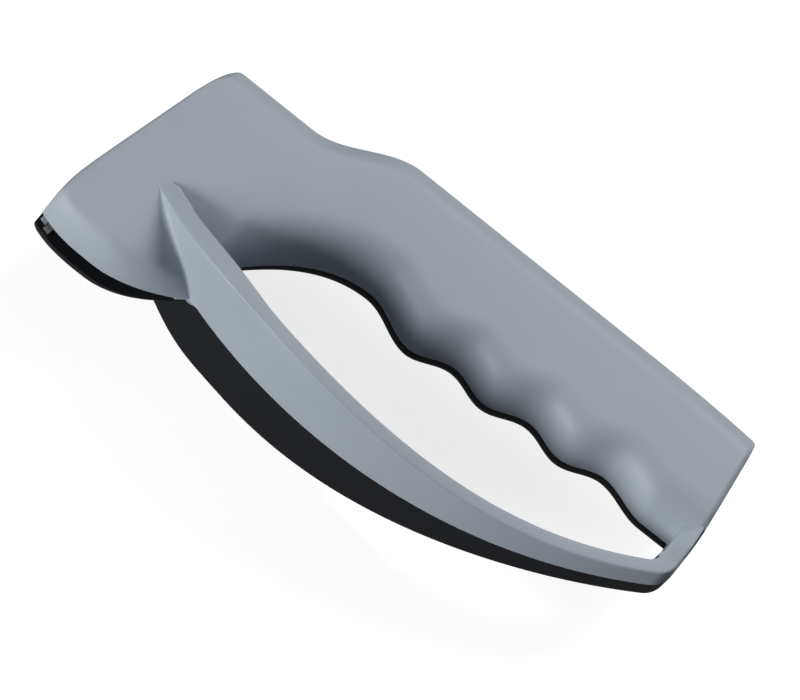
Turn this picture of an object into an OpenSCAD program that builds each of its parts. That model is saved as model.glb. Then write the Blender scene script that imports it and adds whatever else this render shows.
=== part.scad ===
/* [Overall] */
// Length of the sharpener from the front of the mouth to the tail
overall_length = 140; // [130:1:160]
// Height of the top shell's crown above the parting plane
top_crown = 10.5; // [9:0.5:12]
// Depth of the bottom shell's crown below the parting plane
bottom_crown = 9.2; // [8:0.2:10.5]
// Rise of the gentle arch across the crown
crown_arch = 0.7; // [0:0.1:1.2]

/* [Head] */
// Distance of the head's back edge from the finger line
head_back = 18.9; // [17:0.1:21]
// Furthest reach of the lips from the finger line
lip_reach = 33.8; // [32:0.1:36]
// Place along the length where the lips reach furthest
lip_peak_x = 14; // [11:0.5:16]
// Amount by which the lip draws in again at the front corner
lip_front_draw = 2.1; // [0.5:0.1:3]
// Half of the mouth's gap at the front
mouth_half_gap = 2.6; // [1.8:0.1:3]
// Distance of the mouth's floor from the finger line
mouth_floor = 27; // [25.5:0.1:28]
// Length of the front stretch on which the mouth keeps its full gap
mouth_parallel = 18; // [14:1:20]
// Sideways lean of the front face for each millimetre across the head
front_lean_share = 0.27; // [0.15:0.005:0.3]
// Distance from the finger line at which the front face begins to lean
front_bend = 25; // [22:0.5:26]
// Width of the bend in the front face
front_bend_width = 4; // [2:0.5:8]
// Radius of the head's rounded back corner
head_corner = 7; // [4:0.5:9]
// Width of the rounding along the lips
lip_round = 4.5; // [3:0.1:6]
// Width of the rounding along the back edge
back_round = 7; // [5:0.1:8]

/* [Handle] */
// Distance of the handle's back edge from the finger line
handle_back = 26.7; // [25:0.1:30]
// Place where the back edge begins to swell from head to handle
swell_start = 31; // [28:0.5:34]
// Place where the back edge reaches the handle's full width
swell_end = 53; // [48:0.5:58]
// Amount by which the back edge draws in again towards the tail
tail_back_draw = 0.8; // [0:0.1:1.5]
// Width of the rounding along the finger edge
rim_round = 7.5; // [6:0.1:8.5]
// Highest point of the index finger's groove above the finger line
index_groove_top = 0.3; // [0:0.1:1]
// Place of the index finger's groove along the length
index_groove_x = 60; // [58:0.5:62]
// Radius of the curve in which the finger edge falls away to the guard's root
web_radius = 20.2; // [19:0.1:22]
// Place of the first ridge between two fingers
first_bump_x = 72.6; // [71:0.2:74]
// Drop of the first ridge below the finger line
first_bump_drop = 3.85; // [3:0.05:4.5]
// Spacing of the finger grooves
finger_pitch = 18.1; // [17:0.1:19]
// Distance of the last ridge from the one before it
last_pitch = 20.4; // [19:0.1:22]
// Drop of the last ridge below the finger line
last_bump_drop = 1.8; // [1:0.1:2.2]
// Depth of the finger grooves
finger_depth = 2.5; // [1.5:0.1:3]
// Rise of the line of ridges over the length of one pitch
finger_rise = 0.9; // [0.5:0.1:1.2]

/* [Guard] */
// Radius of the guard's bow
guard_radius = 118; // [110:1:130]
// Place of the bow's furthest point along the length
guard_middle = 71.5; // [69:0.5:74]
// Furthest reach of the guard from the finger line
guard_reach = 31.4; // [30:0.1:33]
// Place where the lips run into the guard
guard_root = 33.3; // [32:0.1:35]
// Height of the guard's crest above the parting plane
guard_crest = 18.4; // [16:0.1:20]
// Height of the crest where the guard meets the tail
tail_crest = 5.7; // [4.5:0.1:7]
// Place where the crest begins to fall towards the tail
crest_fall_start = 48; // [46:1:52]
// Place where the ridge rises out of the head
ridge_start = 13; // [11:0.5:15]
// Place where the ridge has risen to its full height
ridge_full = 42; // [39:1:45]
// Width of the crest near the head, with its two bevels
land_width = 3.2; // [2.6:0.1:4]
// Width of the crest at the tail
land_width_tail = 3; // [2.2:0.1:3.2]
// Draft of the guard's sides, in degrees
guard_draft = 3; // [1:0.5:4]
// Bevel along the crest's edges
crest_bevel = 0.5; // [0.2:0.1:0.8]
// Radius of the outer corner at the tail
tail_corner = 5.5; // [4:0.5:7]
// Distance above the finger line to which the tail strip runs
tail_strip = 0.5; // [0:0.1:2]
// Slant of the tail end for each millimetre across
tail_lean_share = 0.12; // [0.05:0.01:0.15]

/* [Carbide plates] */
// Thickness of a carbide plate
plate_thickness = 1.5; // [1.2:0.1:2]
// Width of a carbide plate
plate_width = 4; // [3:0.1:4.5]
// Length of a carbide plate
plate_length = 18; // [15:0.5:20]
// Half of the angle between the plates, in degrees
plate_half_angle = 20; // [15:1:22]
// Distance from the finger line of the point where the edges cross
crotch_reach = 30; // [29:0.1:31]
// Distance of the plates' mouth end from the point where the edges cross
plate_nose = 2.3; // [1.8:0.1:2.6]
// Thickness of the shells' wall in front of the plates
front_wall = 0.7; // [0.5:0.1:1]
// Turn of the plates away from square to the length, in degrees
plate_turn = 13; // [10:1:15]

/* [Plate holder] */
// Length of the holder across the head
holder_length = 16.5; // [15:0.5:18]
// Height of the holder
holder_height = 15; // [14:0.5:16]
// Gap between the point where the edges cross and the holder
holder_setback = 4.6; // [4.5:0.1:5]
// Thickness of the clamp plate
clamp_thickness = 1.5; // [1:0.1:2]
// Diameter of the clamp screws
clamp_screw_d = 2; // [1.6:0.1:2.4]
// Diameter of the clamp screws' heads
clamp_screw_head_d = 3.6; // [3.2:0.1:4]
// Height of the clamp screws' heads
clamp_screw_head_h = 1.2; // [0.8:0.1:1.6]
// Distance of the clamp screws from each other
clamp_screw_spacing = 11; // [10:0.2:11.4]
// Distance of the clamp screws from the holder's mouth side
clamp_screw_inset = 9; // [8:0.2:10]

/* [Housing screws] */
// Diameter of the housing screws' shanks
screw_d = 2.9; // [2.5:0.1:3.2]
// Diameter of the housing screws' heads
screw_head_d = 5.4; // [5:0.1:6]
// Height of the housing screws' heads
screw_head_h = 2; // [1.6:0.1:2.4]
// Depth of the screw heads' seats below the parting plane
screw_seat = 3; // [2.5:0.1:4]
// Length of the shank above the seat
screw_length = 9; // [7:0.5:10]
// Distance of the first screw from the front
front_screw_x = 22; // [21:0.5:24]
// Distance of the first screw back from the finger line
front_screw_y = 9; // [7:0.5:11]
// Distance of the grip's screws back from the finger line
grip_screw_y = 12.5; // [11:0.5:15]
// Distance of the last screw from the tail
tail_screw_inset = 11; // [9:0.5:13]

/* [Locating pegs] */
// Diameter of the pegs that line the shells up
peg_d = 4; // [3:0.1:5]
// Length of the pegs
peg_height = 3; // [2:0.1:3.5]
// Distance of the neck's peg back from the finger line
neck_peg_y = 4; // [3:0.5:6]
// Distance of the grip's pegs back from the finger line
grip_peg_y = 18; // [16:0.5:20]

/* [Hidden] */

grey = "#99A1A9";
black = "#1F2022";
carbide = "#A9ABAD";
steel = "#B9BCC0";
holder_colour = "#2B2C2E";

fit = 0.1;
overrun = 1;
eps = 0.01;

// Rows per stretch of the moulded skins
end_rows = 3;
head_rows = 18;
handle_rows = 58;
edge_steps = 6;
flat_steps = 4;
cheek_steps = 4;
rise_rows = 10;
fall_rows = 32;
corner_rows = 6;

// Places of the grip's screws and pegs, as shares of the stretch from the swell to the tail screw
grip_screw_shares = [0, 0.52, 1];
grip_peg_shares = [0.25, 0.76];
// Place of the neck's peg, as a share of the stretch from the front screw to the swell
neck_peg_share = 0.45;

// Plain vertical land along the parting line, below the roundings
edge_land = 0.3;
// Small rounding along the front and tail ends
end_round = 1.6;
// Stretches over which the slant of the ends fades out
front_fade = 30;
tail_fade = 30;
// Width of the slope that runs from the ridge up to the crown, at both its ends
slope_width_front = 3.6;
slope_width_root = 13;
// How far the land on the crest lies below the crown where the ridge starts
ridge_sink = 0.5;
// Place where the cheek begins to roll down towards the guard's root
roll_start = 12;
// How full that roll is: 1 is a plain cosine, less is fuller
roll_power_share = 0.7;

// Places of the screws and pegs in the plan
tail_screw_x = overall_length - tail_screw_inset;
function along_grip(share) = mix(swell_end, tail_screw_x, share);
screw_places = concat([[front_screw_x, front_screw_y]],
    [for (share = grip_screw_shares) [along_grip(share), grip_screw_y]]);
peg_places = concat([[mix(front_screw_x, swell_end, neck_peg_share), neck_peg_y]],
    [for (share = grip_peg_shares) [along_grip(share), grip_peg_y]]);

tail_x = overall_length;
rim_round_tail = rim_round + end_round;
last_groove_x = first_bump_x + 2.5 * finger_pitch;
last_half_pitch = last_pitch - finger_pitch / 2;

// Circle of the guard's bow, and of the corner at the tail that runs off it
bow_centre = guard_radius - guard_reach;
corner_x = tail_x - tail_corner;
corner_y = bow_centre - sqrt(pow(guard_radius - tail_corner, 2) - pow(corner_x - guard_middle, 2));
corner_angle = asin((corner_x - guard_middle) / (guard_radius - tail_corner));

function bow_angle(x) = asin((x - guard_middle) / guard_radius);
function bow(x) = bow_centre - sqrt(pow(guard_radius, 2) - pow(x - guard_middle, 2));
function ease(t) = t <= 0 ? 0 : t >= 1 ? 1 : (1 - cos(180 * t)) / 2;
function mix(a, b, t) = a + (b - a) * t;

// Lip of the mouth: drawn in at the front corner, furthest out at its peak, then back to the root
function lip(x) = x < lip_peak_x
    ? -lip_reach + lip_front_draw * pow((lip_peak_x - x) / lip_peak_x, 3)
    : mix(-lip_reach, bow(guard_root), pow((x - lip_peak_x) / (guard_root - lip_peak_x), 2));

// Finger edge: a parabola off the guard's root, the index groove, waves on a rising line, and
// from the last groove half a wave down to the last ridge, which runs on level to the tail
function wave(turn) = (1 - cos(360 * turn)) / 2;
function finger_waves(x) = -first_bump_drop + finger_rise * (x - first_bump_x) / finger_pitch
    + finger_depth * (1 - wave(1 / 2 + (x - first_bump_x) / finger_pitch));
function finger_edge(x) = x < index_groove_x
    ? index_groove_top - pow(index_groove_x - x, 2) / web_radius / 2
    : x < first_bump_x
    ? mix(index_groove_top, -first_bump_drop,
        wave((x - index_groove_x) / (first_bump_x - index_groove_x) / 2))
    : x < last_groove_x
    ? finger_waves(x)
    : mix(finger_waves(last_groove_x), -last_bump_drop,
        wave(min(1, (x - last_groove_x) / last_half_pitch) / 2));
function edge_slope(x) = x < index_groove_x ? (index_groove_x - x) / web_radius : 0;

// Line under the ridge where the cheek meets the rest of the head
function seam(x) = max(index_groove_top - pow(index_groove_x - x, 2) / web_radius / 2,
    bow(x) + land_width);
function inner_edge(x) = x < guard_root ? seam(x) : finger_edge(x);

// Back edge: rounded front corner, the head, a swell, and the handle
function corner_cut(x) = x < head_corner
    ? head_corner * (1 - sqrt(1 - pow(1 - x / head_corner, 2))) : 0;
function back_edge(x) = mix(head_back, handle_back, ease((x - swell_start) / (swell_end - swell_start)))
    - corner_cut(x) - tail_back_draw * pow(max(0, 1 - (tail_x - x) / tail_fade), 2);

// Slant of the front, which bends at the mouth, and of the tail
function front_lean(y) = front_lean_share / 2
    * (y + front_bend + sqrt(pow(y + front_bend, 2) + pow(front_bend_width, 2)));
function tail_lean(x, y) = -tail_lean_share * (y - inner_edge(x));
function placed_x(x, y) = x
    + front_lean(y) * pow(max(0, 1 - x / front_fade), 2)
    + tail_lean(x, y) * pow(max(0, 1 - (tail_x - x) / tail_fade), 2);

// Rounding of the two ends, as a drop of the skin near them
function end_drop(x) = let (near = min(x, tail_x - x))
    near < end_round ? end_round * (1 - sqrt(1 - pow(1 - near / end_round, 2))) : 0;

// Height of the skin under the ridge, from the crown at the front to the land at the root
function foot(x, crown) = x < guard_root
    ? mix(edge_land, crown,
        pow(cos(90 * max(0, (x - roll_start) / (guard_root - roll_start))), roll_power_share))
    : edge_land;

// Width of the rounding along the inner edge, measured across the handle
function inner_round(x) = x < guard_root
    ? mix(slope_width_front, slope_width_root, max(0, (x - roll_start) / (guard_root - roll_start)))
    : mix(rim_round, rim_round_tail, max(0, (x - last_groove_x) / (tail_x - last_groove_x)))
        * sqrt(1 + pow(edge_slope(x), 2));
// The rounding is a sine behind the ridge and turns into a quarter of an ellipse at the grooves
function roundness(x) = ease((x - roll_start) / (index_groove_x - roll_start - finger_pitch));

// One cross row of the skin behind the ridge and along the handle, front to back
function main_row(x, crown) = let (
        y0 = inner_edge(x),
        y1 = back_edge(x),
        middle = (y0 + y1) / 2,
        half = (y1 - y0) / 2,
        a = inner_round(x),
        round_share = roundness(x),
        z0 = max(edge_land, foot(x, crown)),
        top = crown - end_drop(x))
    [for (k = [0 : edge_steps]) let (
            f = 90 * k / edge_steps,
            y = y0 + a * mix(k / edge_steps, 1 - cos(f), round_share),
            arch = crown_arch * pow(max(0, (y - middle) / half), 2))
        [placed_x(x, y), y, mix(min(z0, top), top - arch, sin(f))],
     for (k = [1 : flat_steps]) let (
            y = mix(y0 + a, y1 - back_round, k / flat_steps),
            arch = crown_arch * pow(max(0, (y - middle) / half), 2))
        [placed_x(x, y), y, top - arch],
     for (k = [edge_steps - 1 : -1 : 0]) let (
            f = 90 * k / edge_steps,
            y = y1 - back_round * (1 - cos(f)),
            arch = crown_arch * pow(max(0, (y - middle) / half), 2))
        [placed_x(x, y), y, mix(edge_land, top - arch, sin(f))]];

// One cross row of the cheek, from the lip to the line under the ridge
function cheek_row(x, crown) = let (
        y0 = lip(x),
        y1 = inner_edge(x),
        top = min(foot(x, crown), crown - end_drop(x)))
    [for (k = [0 : edge_steps]) let (
            f = 90 * k / edge_steps,
            y = y0 + lip_round * (1 - cos(f)))
        [placed_x(x, y), y, mix(edge_land, top, sin(f))],
     for (k = [1 : cheek_steps]) let (
            y = mix(y0 + lip_round, y1, k / cheek_steps))
        [placed_x(x, y), y, top]];

// Solid between the parting plane and the skin: whole rows over the head, shorter ones behind it
module skin_solid(head_rows_list, handle_rows_list) {
    h = len(head_rows_list);
    n = len(handle_rows_list);
    w = len(head_rows_list[0]);
    m = len(handle_rows_list[0]);
    seam_column = w - m;
    function at_head(i, j) = i * w + j;
    function at_handle(i, j) = i == 0 ? at_head(h - 1, seam_column + j) : h * w + (i - 1) * m + j;
    top = concat([for (row = head_rows_list) each row],
        [for (i = [1 : n - 1]) each handle_rows_list[i]]);
    edge = concat(
        [for (i = [0 : h - 1]) at_head(i, 0)],
        [for (j = [1 : seam_column]) at_head(h - 1, j)],
        [for (i = [1 : n - 1]) at_handle(i, 0)],
        [for (j = [1 : m - 1]) at_handle(n - 1, j)],
        [for (i = [n - 2 : -1 : 0]) at_handle(i, m - 1)],
        [for (i = [h - 2 : -1 : 0]) at_head(i, w - 1)],
        [for (j = [w - 2 : -1 : 1]) at_head(0, j)]);
    count = len(edge);
    base = [for (k = edge) [top[k].x, top[k].y, 0]];
    quads = concat(
        [for (i = [0 : h - 2]) for (j = [0 : w - 2])
            [at_head(i, j), at_head(i, j + 1), at_head(i + 1, j + 1), at_head(i + 1, j)]],
        [for (i = [0 : n - 2]) for (j = [0 : m - 2])
            [at_handle(i, j), at_handle(i, j + 1), at_handle(i + 1, j + 1), at_handle(i + 1, j)]]);
    halves = [for (q = quads) each [[q[0], q[1], q[2]], [q[0], q[2], q[3]]]];
    walls = [for (k = [0 : count - 1]) let (next = (k + 1) % count)
        [edge[k], edge[next], len(top) + next, len(top) + k]];
    bottom = [[for (k = [0 : count - 1]) len(top) + k]];
    polyhedron(points = concat(top, base), faces = concat(halves, walls, bottom));
}

function steps(from, to, n) = [for (i = [0 : n]) mix(from, to, i / n)];
end_places = [for (i = [0 : end_rows]) end_round * (1 - cos(90 * i / end_rows))];
head_stations = concat(end_places, [for (x = steps(end_round, guard_root, head_rows)) if (x > end_round) x]);
handle_stations = concat(steps(guard_root, tail_x - end_round, handle_rows),
    [for (i = [end_rows - 1 : -1 : 0]) tail_x - end_places[i]]);

// Height of the guard's crest: it rises out of the head, stays level and falls towards the tail
function crest(x, crown) = x < ridge_full
    ? mix(crown - ridge_sink, guard_crest, sin(90 * (x - ridge_start) / (ridge_full - ridge_start)))
    : mix(guard_crest, tail_crest, ease((x - crest_fall_start) / (tail_x - crest_fall_start)));

// Section of the guard across its path: foot, side, beveled crest, and back down
function guard_section(height, land) = let (
        side = (height - crest_bevel) * tan(guard_draft),
        corner = crest_bevel * (1 - cos(45)),
        width = 2 * side + land)
    [[0, 0], [side, height - crest_bevel], [side + corner, height - corner],
     [side + crest_bevel, height], [width - side - crest_bevel, height],
     [width - side - corner, height - corner], [width - side, height - crest_bevel], [width, 0]];

// Stations of the guard: place on its outer line and direction there
guard_path = concat(
    [for (a = concat(steps(bow_angle(ridge_start), bow_angle(ridge_full), rise_rows),
            steps(bow_angle(crest_fall_start), corner_angle, fall_rows)))
        [guard_middle + guard_radius * sin(a), bow_centre - guard_radius * cos(a), a]],
    [for (a = steps(corner_angle, 90, corner_rows)) if (a > corner_angle)
        [corner_x + tail_corner * sin(a), corner_y - tail_corner * cos(a), a]],
    [[tail_x, tail_strip, 90]]);

module guard_half(crown) {
    sections = [for (s = guard_path) let (
            land = mix(land_width, land_width_tail, max(0, (s.x - ridge_full) / (tail_x - ridge_full))))
        [for (q = guard_section(crest(s.x, crown), land))
            [s.x - q.x * sin(s.z), s.y + q.x * cos(s.z), q.y]]];
    n = len(sections);
    m = len(sections[0]);
    faces = concat(
        [[for (j = [m - 1 : -1 : 0]) j]],
        [for (i = [0 : n - 2]) for (j = [0 : m - 1]) let (k = (j + 1) % m)
            each [[i * m + j, (i + 1) * m + k, (i + 1) * m + j], [i * m + j, i * m + k, (i + 1) * m + k]]],
        [[for (j = [0 : m - 1]) (n - 1) * m + j]]);
    polyhedron(points = [for (s = sections) each s], faces = faces);
}

// Upper half of the outside: cheek, head, handle and guard, as one skin at its own size
module outside_half(crown) {
    resize([0, 0, 0]) union() {
        skin_solid([for (x = head_stations) concat(cheek_row(x, crown), main_row(x, crown))],
            [for (x = handle_stations) main_row(x, crown)]);
        guard_half(crown);
    }
}

// Mouth between the lips, as deep as its floor and closing in a curve towards the root
module mouth() {
    closing = [for (x = steps(mouth_parallel, guard_root, edge_steps))
        [x, mouth_half_gap * (1 - pow((x - mouth_parallel) / (guard_root - mouth_parallel), 2))]];
    upper = concat([[-overrun, mouth_half_gap]], closing);
    lower = [for (i = [len(upper) - 2 : -1 : 0]) [upper[i].x, -upper[i].y]];
    translate([0, -mouth_floor, 0]) rotate([90, 0, 0])
        linear_extrude(lip_reach - mouth_floor + overrun) polygon(concat(upper, lower));
}

// Frame of the carbide plates: origin where their edges cross, on the front face of the upper one
module at_plates() {
    translate([front_wall + plate_nose * sin(plate_turn), -crotch_reach, 0])
        rotate([0, 0, -plate_turn]) children();
}

// A carbide plate, grown on all sides for the pockets that hold it
module plate_blank(grow) {
    rotate([-plate_half_angle, 0, 0]) translate([-grow, -plate_nose - grow, -grow])
        cube([plate_thickness + 2 * grow, plate_length + 2 * grow, plate_width + 2 * grow]);
}

module both_plate_blanks(grow) {
    plate_blank(grow);
    translate([plate_thickness, 0, 0]) mirror([0, 0, 1]) plate_blank(grow);
}

module at_clamp_screws() {
    for (side = [-1, 1])
        translate([0, holder_setback + clamp_screw_inset, side * clamp_screw_spacing / 2])
            rotate([0, 90, 0]) children();
}

stack = 2 * plate_thickness + clamp_thickness + clamp_screw_head_h;

// Space in the shells for the plates, their holder and its clamp
module plate_pocket() {
    at_plates() {
        both_plate_blanks(fit);
        translate([-fit, holder_setback - fit, -holder_height / 2 - fit])
            cube([stack + 2 * fit, holder_length + 2 * fit, holder_height + 2 * fit]);
    }
}

module carbide_plate_upper() {
    color(carbide) at_plates() plate_blank(0);
}

module carbide_plate_lower() {
    color(carbide) at_plates() translate([plate_thickness, 0, 0]) mirror([0, 0, 1]) plate_blank(0);
}

module plate_holder() {
    color(holder_colour) at_plates() difference() {
        translate([0, holder_setback, -holder_height / 2])
            cube([2 * plate_thickness, holder_length, holder_height]);
        both_plate_blanks(fit / 2);
        at_clamp_screws() translate([0, 0, -overrun])
            cylinder(h = stack + 2 * overrun, d = clamp_screw_d + fit, $fn = 32);
    }
}

module plate_clamp() {
    color(steel) at_plates() difference() {
        translate([2 * plate_thickness, holder_setback, -holder_height / 2])
            cube([clamp_thickness, holder_length, holder_height]);
        at_clamp_screws() translate([0, 0, 2 * plate_thickness - overrun])
            cylinder(h = clamp_thickness + 2 * overrun, d = clamp_screw_d + fit, $fn = 32);
    }
}

module plate_clamp_screws() {
    color(steel) at_plates() at_clamp_screws() {
        translate([0, 0, fit])
            cylinder(h = 2 * plate_thickness + clamp_thickness - fit + eps, d = clamp_screw_d, $fn = 32);
        translate([0, 0, 2 * plate_thickness + clamp_thickness])
            cylinder(h = clamp_screw_head_h, d = clamp_screw_head_d, $fn = 32);
    }
}

module housing_screws() {
    color(steel) for (p = screw_places) translate([p.x, p.y, -screw_seat]) {
        cylinder(h = screw_length, d = screw_d, $fn = 32);
        translate([0, 0, -screw_head_h]) cylinder(h = screw_head_h + eps, d = screw_head_d, $fn = 48);
    }
}

// Holes that the housing screws pass through, with the seats for their heads
module screw_holes() {
    for (p = screw_places) translate([p.x, p.y, 0]) {
        translate([0, 0, -screw_seat - overrun])
            cylinder(h = screw_length + overrun + fit, d = screw_d + fit, $fn = 32);
        translate([0, 0, -bottom_crown - overrun])
            cylinder(h = bottom_crown - screw_seat + overrun, d = screw_head_d + 2 * fit, $fn = 48);
    }
}

module pegs(grow) {
    for (p = peg_places) translate([p.x, p.y, -peg_height - grow])
        cylinder(h = peg_height + grow + overrun, d = peg_d + 2 * grow, $fn = 32);
}

module top_shell() {
    color(grey) union() {
        difference() {
            outside_half(top_crown);
            mouth();
            plate_pocket();
            screw_holes();
        }
        pegs(0);
    }
}

module bottom_shell() {
    color(black) difference() {
        mirror([0, 0, 1]) outside_half(bottom_crown);
        mouth();
        plate_pocket();
        screw_holes();
        pegs(fit);
    }
}

// The finished frame: middle of the length and width, and the lowest crest on the ground
module in_place() {
    translate([-overall_length / 2, (lip_reach - handle_back) / 2, guard_crest]) children();
}

in_place() top_shell();
in_place() bottom_shell();
in_place() carbide_plate_upper();
in_place() carbide_plate_lower();
in_place() plate_holder();
in_place() plate_clamp();
in_place() plate_clamp_screws();
in_place() housing_screws();
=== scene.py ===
import math

import bpy
import numpy as np
from mathutils import Matrix, Vector


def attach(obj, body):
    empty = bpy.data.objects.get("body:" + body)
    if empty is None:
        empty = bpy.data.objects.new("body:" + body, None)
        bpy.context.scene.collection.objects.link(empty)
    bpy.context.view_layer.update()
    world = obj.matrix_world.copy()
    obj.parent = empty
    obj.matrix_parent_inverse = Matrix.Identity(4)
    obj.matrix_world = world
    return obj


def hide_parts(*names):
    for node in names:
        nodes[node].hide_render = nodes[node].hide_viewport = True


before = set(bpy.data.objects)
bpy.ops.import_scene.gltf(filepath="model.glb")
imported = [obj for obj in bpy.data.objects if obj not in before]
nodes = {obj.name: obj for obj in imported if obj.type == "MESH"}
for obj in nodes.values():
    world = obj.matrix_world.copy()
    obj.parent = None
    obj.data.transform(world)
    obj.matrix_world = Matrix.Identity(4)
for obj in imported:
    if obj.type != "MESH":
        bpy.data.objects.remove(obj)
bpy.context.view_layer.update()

mm = 0.001
print("stage: frame loaded, nodes", sorted(nodes))


# Camera: long lens, rolled, placed by the scale and centre of the photograph's frame

cameraLook = {
    "frameWidth": 800,            # pixels across the photograph
    "pixelsPerMm": 5.134,         # scale at the parting plane
    "elevation": 63.5,            # degrees above the parting plane
    "roll": 38.7,                 # degrees, the length runs down to the right
    "lens": 1400.0,               # mm, long enough to look nearly parallel
    "sensor": 36.0,               # mm
    "near": 0.1, "far": 60.0,     # metres that the camera sees
    "aim": (1.2, -1.5, 18.4),     # mm, the point in the middle of the picture
}


def makeCamera(look):
    # the axes come from elevation and roll, the distance from the lens, the sensor and the width
    # that the picture has at the parting plane
    e, r = math.radians(look["elevation"]), math.radians(look["roll"])
    back = Vector((0, -math.cos(e), math.sin(e)))
    rise = Vector((0, math.sin(e), math.cos(e)))
    right = Vector((math.cos(r), 0, 0)) + rise * math.sin(r)
    up = rise * math.cos(r) - Vector((math.sin(r), 0, 0))
    width = look["frameWidth"] / look["pixelsPerMm"] * mm
    distance = look["lens"] / look["sensor"] * width
    data = bpy.data.cameras.new("camera")
    data.lens = look["lens"]
    data.sensor_width = look["sensor"]
    data.clip_start, data.clip_end = look["near"], look["far"]
    camera = bpy.data.objects.new("camera", data)
    bpy.context.collection.objects.link(camera)
    turn = Matrix((right, up, back)).transposed().to_4x4()
    camera.matrix_world = Matrix.Translation(Vector(look["aim"]) * mm + back * distance) @ turn
    bpy.context.scene.camera = camera


makeCamera(cameraLook)
print("stage: camera")


# Outline of the moulding, in mm, from the front of the mouth, the finger line and the parting plane

plan = {
    "length": 140.0, "handleBack": 26.7, "headBack": 18.9,
    "lipReach": 33.78, "lipPeak": 14.0, "lipFrontDraw": 2.1,  # edge of the head beside the mouth
    "frontLean": 0.27, "frontBend": 25.0, "frontBendWidth": 4.0, "frontFade": 30.0,  # slanted front
    "headCorner": 7.0, "swellStart": 31.0, "swellEnd": 53.0,  # back edge from the head to the handle
    "tailDraw": 0.8, "tailFade": 30.0, "tailLean": 0.12,
    "indexTop": 0.3, "indexPlace": 60.0, "webRadius": 20.2,  # index finger's groove, and the web before it
    "firstBump": 72.6, "firstDrop": 3.85, "pitch": 18.1, "waves": 2.5,
    "lastPitch": 20.4, "lastDrop": 1.8, "fingerDepth": 2.5, "fingerRise": 0.9,
    "bowRadius": 118.0, "bowMiddle": 71.5, "bowReach": 31.4,  # outer line of the guard
    "root": 33.3,                    # where the guard leaves the head
    "origin": (70.0, -3.55, -18.4),  # the frame's origin, seen from the front corner of the outline
}

skin = {
    "topCrown": 10.5, "bottomCrown": 9.2,  # heights above and below the parting plane
    "lipRound": 4.5, "backRound": 7.0, "rimRound": 7.5, "rimRoundTail": 9.1,
    "endRound": 1.6, "edgeLand": 0.3, "arch": 0.7,
    "slopeFront": 3.6, "slopeRoot": 13.0, "rollStart": 12.0, "footBend": 0.63, "landWidth": 3.2,
    "groove": 0.14, "grooveReach": 3.0,  # bevel along the parting line, and the drawn-in base behind it
    "headRows": 84, "handleRows": 236, "endRows": 11, "cheekCols": (14, 14), "mainCols": (20, 16, 16),
    "rowSteps": 6, "halvings": 18,       # steps of the search in skinHeight
    "sharp": 32,                         # degrees, edges above it stay sharp
}

bowCentre = plan["bowRadius"] - plan["bowReach"]
lastGroove = plan["firstBump"] + plan["waves"] * plan["pitch"]
lastHalf = plan["lastPitch"] - plan["pitch"] / 2


def blend(a, b, t):
    # straight line from a at 0 to b at 1
    return a + (b - a) * t


def ease(t):
    # half a cosine wave from 0 to 1, level at both ends
    return (1 - np.cos(np.pi * np.clip(t, 0, 1))) / 2


def bow(x):
    # circle of the guard's outer line
    return bowCentre - np.sqrt(plan["bowRadius"] ** 2 - (x - plan["bowMiddle"]) ** 2)


def lip(x):
    # cubic in front of the lip's peak, parabola from there to the guard's root
    front = plan["lipFrontDraw"] * np.clip((plan["lipPeak"] - x) / plan["lipPeak"], 0, None) ** 3
    along = np.clip((x - plan["lipPeak"]) / (plan["root"] - plan["lipPeak"]), 0, 1) ** 2
    return -plan["lipReach"] + front + (bow(plan["root"]) + plan["lipReach"]) * along


def wave(turn):
    # one cosine wave per turn, from 0 up to 1 and back
    return (1 - np.cos(2 * np.pi * turn)) / 2


def fingerWaves(x):
    # waves of the finger grooves, standing on a line that rises a little with every pitch
    line = -plan["firstDrop"] + plan["fingerRise"] * (x - plan["firstBump"]) / plan["pitch"]
    return line + plan["fingerDepth"] * (1 - wave(0.5 + (x - plan["firstBump"]) / plan["pitch"]))


def webEdge(x):
    # parabola of the web between the guard's root and the index finger's groove
    return plan["indexTop"] - (plan["indexPlace"] - x) ** 2 / plan["webRadius"] / 2


def fingerEdge(x):
    # the web's parabola, a falling half wave, waves about a rising line, a last half wave, level
    fall = wave((x - plan["indexPlace"]) / (plan["firstBump"] - plan["indexPlace"]) / 2)
    first = blend(plan["indexTop"], -plan["firstDrop"], fall)
    last = blend(fingerWaves(lastGroove), -plan["lastDrop"],
                 wave(np.clip((x - lastGroove) / lastHalf, 0, 1) / 2))
    grooves = np.where(x < lastGroove, fingerWaves(x), last)
    return np.where(x < plan["indexPlace"], webEdge(x), np.where(x < plan["firstBump"], first, grooves))


def innerEdge(x):
    # the finger edge, and over the head the greater of the web and the line under the ridge
    return np.where(x < plan["root"], np.maximum(webEdge(x), bow(x) + skin["landWidth"]), fingerEdge(x))


def backEdge(x):
    # quarter circle at the corner, straight, a swell, straight, drawn in at the tail
    corner = np.clip(1 - x / plan["headCorner"], 0, 1)
    swell = ease((x - plan["swellStart"]) / (plan["swellEnd"] - plan["swellStart"]))
    tail = np.clip(1 - (plan["length"] - x) / plan["tailFade"], 0, 1)
    return (blend(plan["headBack"], plan["handleBack"], swell)
            - plan["headCorner"] * (1 - np.sqrt(1 - corner ** 2)) - plan["tailDraw"] * tail ** 2)


def placedX(x, y):
    # hyperbola of the slanted front and line of the slanted tail, both fading inwards
    lean = plan["frontLean"] / 2 * (y + plan["frontBend"]
                                    + np.sqrt((y + plan["frontBend"]) ** 2 + plan["frontBendWidth"] ** 2))
    front = np.clip(1 - x / plan["frontFade"], 0, None) ** 2
    tail = np.clip(1 - (plan["length"] - x) / plan["tailFade"], 0, None) ** 2
    return x + lean * front - plan["tailLean"] * (y - innerEdge(x)) * tail


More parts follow.
